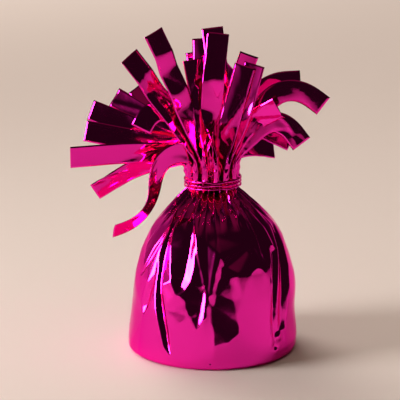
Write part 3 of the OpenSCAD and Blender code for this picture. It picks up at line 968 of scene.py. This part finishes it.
def uneven_gloss(tree, noise, roughness, least, most):
    """A roughness times a factor that a noise moves between two ends."""
    ends = {"From Min": NOISE_ENDS[0], "From Max": NOISE_ENDS[1], "To Min": least, "To Max": most}
    factor = add_node(tree, "ShaderNodeMapRange", {"Value": noise, **ends})
    return add_math(tree, "MULTIPLY", factor.outputs["Result"], roughness)


def film_ripples():
    """The group that gives mirror film its fine ripples and its slightly uneven gloss."""
    if "Film ripples" in bpy.data.node_groups:
        return bpy.data.node_groups["Film ripples"]
    tree, start, end = group_tree(
        "Film ripples",
        [
            ("Size", "NodeSocketFloat", 90.0),
            ("Fine Size", "NodeSocketFloat", 420.0),
            ("Fine Share", "NodeSocketFloat", 0.25),
            ("Roughness", "NodeSocketFloat", 0.1),
        ],
        [("Height", "NodeSocketFloat"), ("Roughness", "NodeSocketFloat")],
    )
    place = add_node(tree, "ShaderNodeTexCoord", {}).outputs["Object"]
    wide = add_node(tree, "ShaderNodeTexNoise", {
        "Vector": place, "Scale": start.outputs["Size"], "Detail": 2.0, "Roughness": 0.45, "Distortion": 0.6,
    }).outputs["Fac"]
    fine = add_node(tree, "ShaderNodeTexNoise", {
        "Vector": place, "Scale": start.outputs["Fine Size"], "Detail": 1.0, "Roughness": 0.5,
    }).outputs["Fac"]
    share = add_math(tree, "MULTIPLY", fine, start.outputs["Fine Share"])
    gloss = uneven_gloss(tree, wide, start.outputs["Roughness"], 0.8, 1.25)
    tree.links.new(add_math(tree, "ADD", wide, share), end.inputs["Height"])
    tree.links.new(gloss, end.inputs["Roughness"])
    return tree


def surface_grain():
    """The group behind the plastic, the filler, the card and the floor: two colours and a grain."""
    if "Surface grain" in bpy.data.node_groups:
        return bpy.data.node_groups["Surface grain"]
    tree, start, end = group_tree(
        "Surface grain",
        [
            ("Dark", "NodeSocketColor", None),
            ("Light", "NodeSocketColor", None),
            ("Size", "NodeSocketFloat", 400.0),
            ("Roughness", "NodeSocketFloat", 0.5),
        ],
        [("Color", "NodeSocketColor"), ("Height", "NodeSocketFloat"), ("Roughness", "NodeSocketFloat")],
    )
    place = add_node(tree, "ShaderNodeTexCoord", {}).outputs["Object"]
    noise = add_node(tree, "ShaderNodeTexNoise", {
        "Vector": place, "Scale": start.outputs["Size"], "Detail": 4.0, "Roughness": 0.6,
    }).outputs["Fac"]
    tint = add_mix(tree, noise, start.outputs["Dark"], start.outputs["Light"])
    gloss = uneven_gloss(tree, noise, start.outputs["Roughness"], 0.85, 1.15)
    for source, socket in ((tint, "Color"), (noise, "Height"), (gloss, "Roughness")):
        tree.links.new(source, end.inputs[socket])
    return tree


def new_material(name, group, inputs):
    """A material with its node tree, its Principled shader, and a group with its values."""
    material = bpy.data.materials.new(name)
    material.use_nodes = True
    tree = material.node_tree
    shader = next(n for n in tree.nodes if n.type == "BSDF_PRINCIPLED")
    return material, tree, shader, add_node(tree, "ShaderNodeGroup", inputs, node_tree=group)


def add_relief(tree, shader, group, depth):
    """Gives a shader the group's roughness, and a bump of its height (metres)."""
    bump = add_node(tree, "ShaderNodeBump", {"Height": group.outputs["Height"], "Distance": depth})
    tree.links.new(bump.outputs["Normal"], shader.inputs["Normal"])
    tree.links.new(group.outputs["Roughness"], shader.inputs["Roughness"])


def film_material(name, look, size, fine_share, depth, roughness):
    """Metallised mirror film in one of its finishes."""
    if name in bpy.data.materials:
        return bpy.data.materials[name]
    material, tree, shader, group = new_material(
        name, film_ripples(), {"Size": size, "Fine Share": fine_share, "Roughness": roughness},
    )
    add_relief(tree, shader, group, depth)
    shader.inputs["Base Color"].default_value = (*look.colour, 1)
    shader.inputs["Metallic"].default_value = 1
    shader.inputs["Specular Tint"].default_value = (*look.edge, 1)
    shader.inputs["Coat Weight"].default_value = look.coat
    shader.inputs["Coat Roughness"].default_value = COAT_ROUGHNESS
    return material


def grainy_material(name, dark, light, size, depth, roughness):
    """A plain moulded, cast or card surface with a fine grain in its colour and height."""
    if name in bpy.data.materials:
        return bpy.data.materials[name]
    material, tree, shader, group = new_material(
        name, surface_grain(),
        {"Dark": (*dark, 1), "Light": (*light, 1), "Size": size, "Roughness": roughness},
    )
    add_relief(tree, shader, group, depth)
    tree.links.new(group.outputs["Color"], shader.inputs["Base Color"])
    return material


def floor_material(look):
    """Matte paper with a barely visible grain."""
    material, tree, shader, group = new_material(
        "floor paper", surface_grain(),
        {
            "Dark": (*[FLOOR_DARK_SHARE * c for c in look.floor], 1), "Light": (*look.floor, 1),
            "Size": FLOOR_GRAIN, "Roughness": FLOOR_ROUGHNESS,
        },
    )
    tree.links.new(group.outputs["Color"], shader.inputs["Base Color"])
    shader.inputs["Roughness"].default_value = FLOOR_ROUGHNESS
    shader.inputs["Specular IOR Level"].default_value = 0
    return material


# Stage

def room_world(look):
    """The room that the film mirrors: dark in front, a lit wall behind and at the left.

    The camera sees a plain backdrop instead.
    """
    world = bpy.data.worlds.new("Room")
    bpy.context.scene.world = world
    world.use_nodes = True
    tree = world.node_tree
    tree.nodes.clear()

    def ramp(source, ends):
        inputs = {"Value": source, "From Min": ends[0], "From Max": ends[1]}
        new = add_node(tree, "ShaderNodeMapRange", inputs, interpolation_type="SMOOTHSTEP")
        return new.outputs["Result"]

    place = add_node(tree, "ShaderNodeTexCoord", {}).outputs["Generated"]
    axes = add_node(tree, "ShaderNodeSeparateXYZ", {0: place}).outputs
    walls = add_math(tree, "MAXIMUM", ramp(axes["X"], LEFT_ENDS), ramp(axes["Y"], BACK_ENDS))
    lit = add_math(tree, "MULTIPLY", walls, ramp(axes["Z"], WALL_ENDS))
    sides = add_mix(tree, lit, (*look.dark, 1), (*look.wall, 1))
    room = add_mix(tree, ramp(axes["Z"], CEILING_ENDS), sides, (*look.ceiling, 1))
    camera_ray = add_node(tree, "ShaderNodeLightPath", {}).outputs["Is Camera Ray"]
    seen = add_mix(tree, camera_ray, room, (*look.backdrop, 1))
    background = add_node(tree, "ShaderNodeBackground", {"Color": seen}).outputs[0]
    add_node(tree, "ShaderNodeOutputWorld", {"Surface": background})


def turn_to_face(place, target):
    """The turn that makes a camera or a lamp at a place face its target."""
    return (Vector(target) - Vector(place)).to_track_quat("-Z", "Y").to_euler()


def area_lamp(name, power, place, target, size, colour, spread, seen_in_film):
    """A soft rectangular lamp that faces its target."""
    light = bpy.data.lights.new(name, "AREA")
    light.shape = "RECTANGLE"
    light.size, light.size_y = size
    light.energy = power
    light.color = colour
    light.spread = math.radians(spread)
    lamp = bpy.data.objects.new(name, light)
    lamp.location = place
    lamp.rotation_euler = turn_to_face(place, target)
    lamp.visible_camera = False
    lamp.visible_glossy = seen_in_film
    bpy.context.scene.collection.objects.link(lamp)
    return lamp


def polar(azimuth, elevation, distance):
    """A place given by degrees round from the front, degrees up, and distance from the origin."""
    a, e = math.radians(azimuth), math.radians(elevation)
    level = distance * math.cos(e)
    return level * math.sin(a), -level * math.cos(a), distance * math.sin(e)


# Settings

class BagSettings(bpy.types.PropertyGroup):
    """Shape of the wrapped bag."""

    flatness: FloatProperty(
        name="Facet flatness", description="How flat the film lies between two creases",
        default=0.55, min=0, max=1, subtype="FACTOR",
    )
    thickness: FloatProperty(
        name="Film thickness", description="Thickness of the film", default=0.1 * MM,
        min=0.02 * MM, unit="LENGTH",
    )
    crinkle: FloatProperty(
        name="Neck crinkle", description="Depth of the crumpling near the tie",
        default=0.22 * MM, min=0, unit="LENGTH",
    )
    ripple: FloatProperty(
        name="Body ripple", description="Depth of the wide ripples on the body",
        default=0.05 * MM, min=0, unit="LENGTH",
    )


class FringeSettings(bpy.types.PropertyGroup):
    """Shape of the fringe's strips."""

    curl: FloatProperty(
        name="Greatest curl", description="How deep a strip is curled across its width at most",
        default=0.35 * MM, min=0, unit="LENGTH",
    )
    crease: FloatProperty(
        name="Crease depth", description="Depth of the chance creases across a strip",
        default=0.3 * MM, min=0, unit="LENGTH",
    )
    hinge_blend: FloatProperty(
        name="Flexing length", description="Length over which a strip bends at its flexing line",
        default=2.5 * MM, min=0.5 * MM, unit="LENGTH",
    )


class FilmSettings(bpy.types.PropertyGroup):
    """Look of the mirror film."""

    colour: FloatVectorProperty(
        name="Film colour", description="Colour of the metallised film", default=(0.97, 0.016, 0.46),
        min=0, max=1, size=3, subtype="COLOR",
    )
    edge: FloatVectorProperty(
        name="Edge colour", description="Colour of the film where it is seen at a flat angle",
        default=(1, 0.25, 0.7), min=0, max=1, size=3, subtype="COLOR",
    )
    coat: FloatProperty(
        name="Clear face", description="Strength of the clear plastic face over the metal",
        default=0.15, min=0, max=1, subtype="FACTOR",
    )
    roughness: FloatProperty(
        name="Roughness", description="Roughness of the mirror", default=0.08,
        min=0, max=1, subtype="FACTOR",
    )
    depth: FloatProperty(
        name="Ripple depth", description="Height of the fine ripples in the mirror",
        default=0.12 * MM, min=0, unit="LENGTH",
    )


class StageSettings(bpy.types.PropertyGroup):
    """Camera, floor, lamps and room."""

    focal: FloatProperty(
        name="Focal length", description="Focal length of the camera in millimetres",
        default=143.1, min=10,
    )
    window_power: FloatProperty(
        name="Window power", description="Power of the soft lamp at the left in watts",
        default=3.1, min=0, unit="POWER",
    )
    fill_power: FloatProperty(
        name="Fill power", description="Power of the wide lamp overhead in watts",
        default=13, min=0, unit="POWER",
    )
    far_power: FloatProperty(
        name="Far fill power", description="Power of the wide lamp over the far floor in watts",
        default=88, min=0, unit="POWER",
    )
    floor: FloatVectorProperty(
        name="Floor colour", description="Colour of the floor", default=(0.76, 0.675, 0.615),
        min=0, max=1, size=3, subtype="COLOR",
    )
    backdrop: FloatVectorProperty(
        name="Backdrop", description="Colour seen past the floor", default=(0.70, 0.585, 0.51),
        min=0, max=1, size=3, subtype="COLOR",
    )
    dark: FloatVectorProperty(
        name="Dark side", description="Light from the room's dark front",
        default=(0.016, 0.013, 0.012), min=0, size=3, subtype="COLOR",
    )
    wall: FloatVectorProperty(
        name="Lit walls", description="Light from the walls behind and at the left",
        default=(0.45, 0.37, 0.33), min=0, size=3, subtype="COLOR",
    )
    ceiling: FloatVectorProperty(
        name="Ceiling", description="Light from the ceiling", default=(0.12, 0.07, 0.055),
        min=0, size=3, subtype="COLOR",
    )


# Operators

class WEIGHT_OT_bag(bpy.types.Operator):
    """Models the creased and pleated bag of mirror film over the weight."""

    bl_idname = "weight.bag"
    bl_label = "Build bag"

    def execute(self, context):
        look, film = context.scene.weight_bag, context.scene.weight_film
        material = film_material("mirror film, bag", film, *BAG_RIPPLES, film.depth, film.roughness)
        rows = bag_surface(look)
        bag = mesh_piece("film_bag", np.vstack(rows), rings_to_faces(len(rows), BAG_COLUMNS), material)
        thicken(bag, look.thickness)
        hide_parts("wrapper")
        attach(bag, "root")
        return {"FINISHED"}


class WEIGHT_OT_fringe(bpy.types.Operator):
    """Models the strips of the fringe and the film between their roots.

    A springy strip's flexing line is worked out, but the strip is not blended there. The bag has to be there
    already.
    """

    bl_idname = "weight.fringe"
    bl_label = "Build fringe"

    def execute(self, context):
        look, film = context.scene.weight_fringe, context.scene.weight_film
        material = film_material("mirror film, fringe", film, *FRINGE_RIPPLES, film.depth, film.roughness)
        springy = {joint["child"]: joint for joint in frame["joints"]}
        for k in range(STRIP_COUNT):
            strip = strip_mesh(k, look, context.scene.weight_bag.thickness, material)
            body = f"tongue_{k + 1:02d}"
            if body in springy:
                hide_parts(f"strip_{k + 1:02d}", "strip_roots")
                at = FLEX_AT + np.array([-0.5, 0.5]) * look.hinge_blend
                start, end = (Vector(p) for p in strip_pose(k, at)[0])
                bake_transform(strip)
            else:
                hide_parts(f"strip_{k + 1:02d}")
                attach(strip, "root")
        web = root_web(material, context.scene.weight_bag.thickness)
        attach(web, "root")
        return {"FINISHED"}


class WEIGHT_OT_tie(bpy.types.Operator):
    """Winds the tie round the neck."""

    bl_idname = "weight.tie"
    bl_label = "Build tie"

    def execute(self, context):
        film = context.scene.weight_film
        material = film_material("mirror film, tie", film, *TIE_RIPPLES, TIE_RIPPLE_DEPTH, TIE_ROUGHNESS)
        tie = cord_mesh("wound_tie", *tie_line(), TIE_D / 2, TIE_SIDES, material)
        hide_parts("neck_tie")
        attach(tie, "root")
        return {"FINISHED"}


class WEIGHT_OT_core(bpy.types.Operator):
    """Gives the cup, its lid, the ballast and the base disc their finishes."""

    bl_idname = "weight.core"
    bl_label = "Dress core"

    def execute(self, context):
        for name, finish in CORE_PIECES.items():
            mesh = frame["nodes"][name].data
            mesh.materials.clear()
            mesh.materials.append(grainy_material(finish, *CORE_FINISHES[finish]))
        return {"FINISHED"}


class WEIGHT_OT_stage(bpy.types.Operator):
    """Sets up the camera, the floor, the lamps and the room round the weight."""

    bl_idname = "weight.stage"
    bl_label = "Build stage"

    def execute(self, context):
        scene, look = context.scene, context.scene.weight_stage
        lens = bpy.data.cameras.new("camera")
        lens.lens = look.focal
        lens.sensor_width = SENSOR_WIDTH
        camera = bpy.data.objects.new("camera", lens)
        camera.location = CAMERA_AT
        camera.rotation_euler = turn_to_face(CAMERA_AT, CAMERA_TO)
        scene.collection.objects.link(camera)
        scene.camera = camera
        scene.view_settings.view_transform = "Standard"
        floor = mesh_piece(
            "floor",
            [(x * FLOOR_REACH, y * FLOOR_REACH, 0) for x, y in ((-1, -1), (1, -1), (1, 1), (-1, 1))],
            [(0, 1, 2, 3)], floor_material(look), False,
        )
        window, fill, far = (
            area_lamp(name, getattr(look, power), place or polar(*WINDOW_PLACE), *rest)
            for name, (power, place, *rest) in LAMPS.items()
        )
        room_world(look)
        return {"FINISHED"}


class WEIGHT_PT_panel(bpy.types.Panel):
    """Lists the steps that build the balloon weight, with their settings."""

    bl_idname = "WEIGHT_PT_panel"
    bl_label = "Balloon weight"
    bl_space_type = "VIEW_3D"
    bl_region_type = "UI"
    bl_category = "Balloon weight"

    def draw(self, context):
        for step, settings in STEPS:
            box = self.layout.box()
            box.operator(step.bl_idname)
            for group in (getattr(context.scene, name) for name in settings):
                for name in group.__annotations__:
                    box.prop(group, name)


# The steps in order, each with the settings that the panel lists under it

STEPS = (
    (WEIGHT_OT_bag, ("weight_bag", "weight_film")),
    (WEIGHT_OT_fringe, ("weight_fringe",)),
    (WEIGHT_OT_tie, ()),
    (WEIGHT_OT_core, ()),
    (WEIGHT_OT_stage, ("weight_stage",)),
)
SETTINGS = (
    ("weight_bag", BagSettings),
    ("weight_fringe", FringeSettings),
    ("weight_film", FilmSettings),
    ("weight_stage", StageSettings),
)


def register():
    """Adds the settings, the steps and the panel to Blender."""
    for _, group in SETTINGS:
        bpy.utils.register_class(group)
    for name, group in SETTINGS:
        setattr(bpy.types.Scene, name, PointerProperty(type=group))
    for step, _ in STEPS:
        bpy.utils.register_class(step)
    bpy.utils.register_class(WEIGHT_PT_panel)


def unregister():
    """Takes the panel, the steps and the settings out again."""
    bpy.utils.unregister_class(WEIGHT_PT_panel)
    for step, _ in reversed(STEPS):
        bpy.utils.unregister_class(step)
    for name, group in reversed(SETTINGS):
        delattr(bpy.types.Scene, name)
        bpy.utils.unregister_class(group)


def main():
    """Builds the whole weight and its stage."""
    register()
    bpy.ops.weight.bag()
    bpy.ops.weight.fringe()
    bpy.ops.weight.tie()
    bpy.ops.weight.core()
    bpy.ops.weight.stage()


if __name__ == "__main__":
    main()
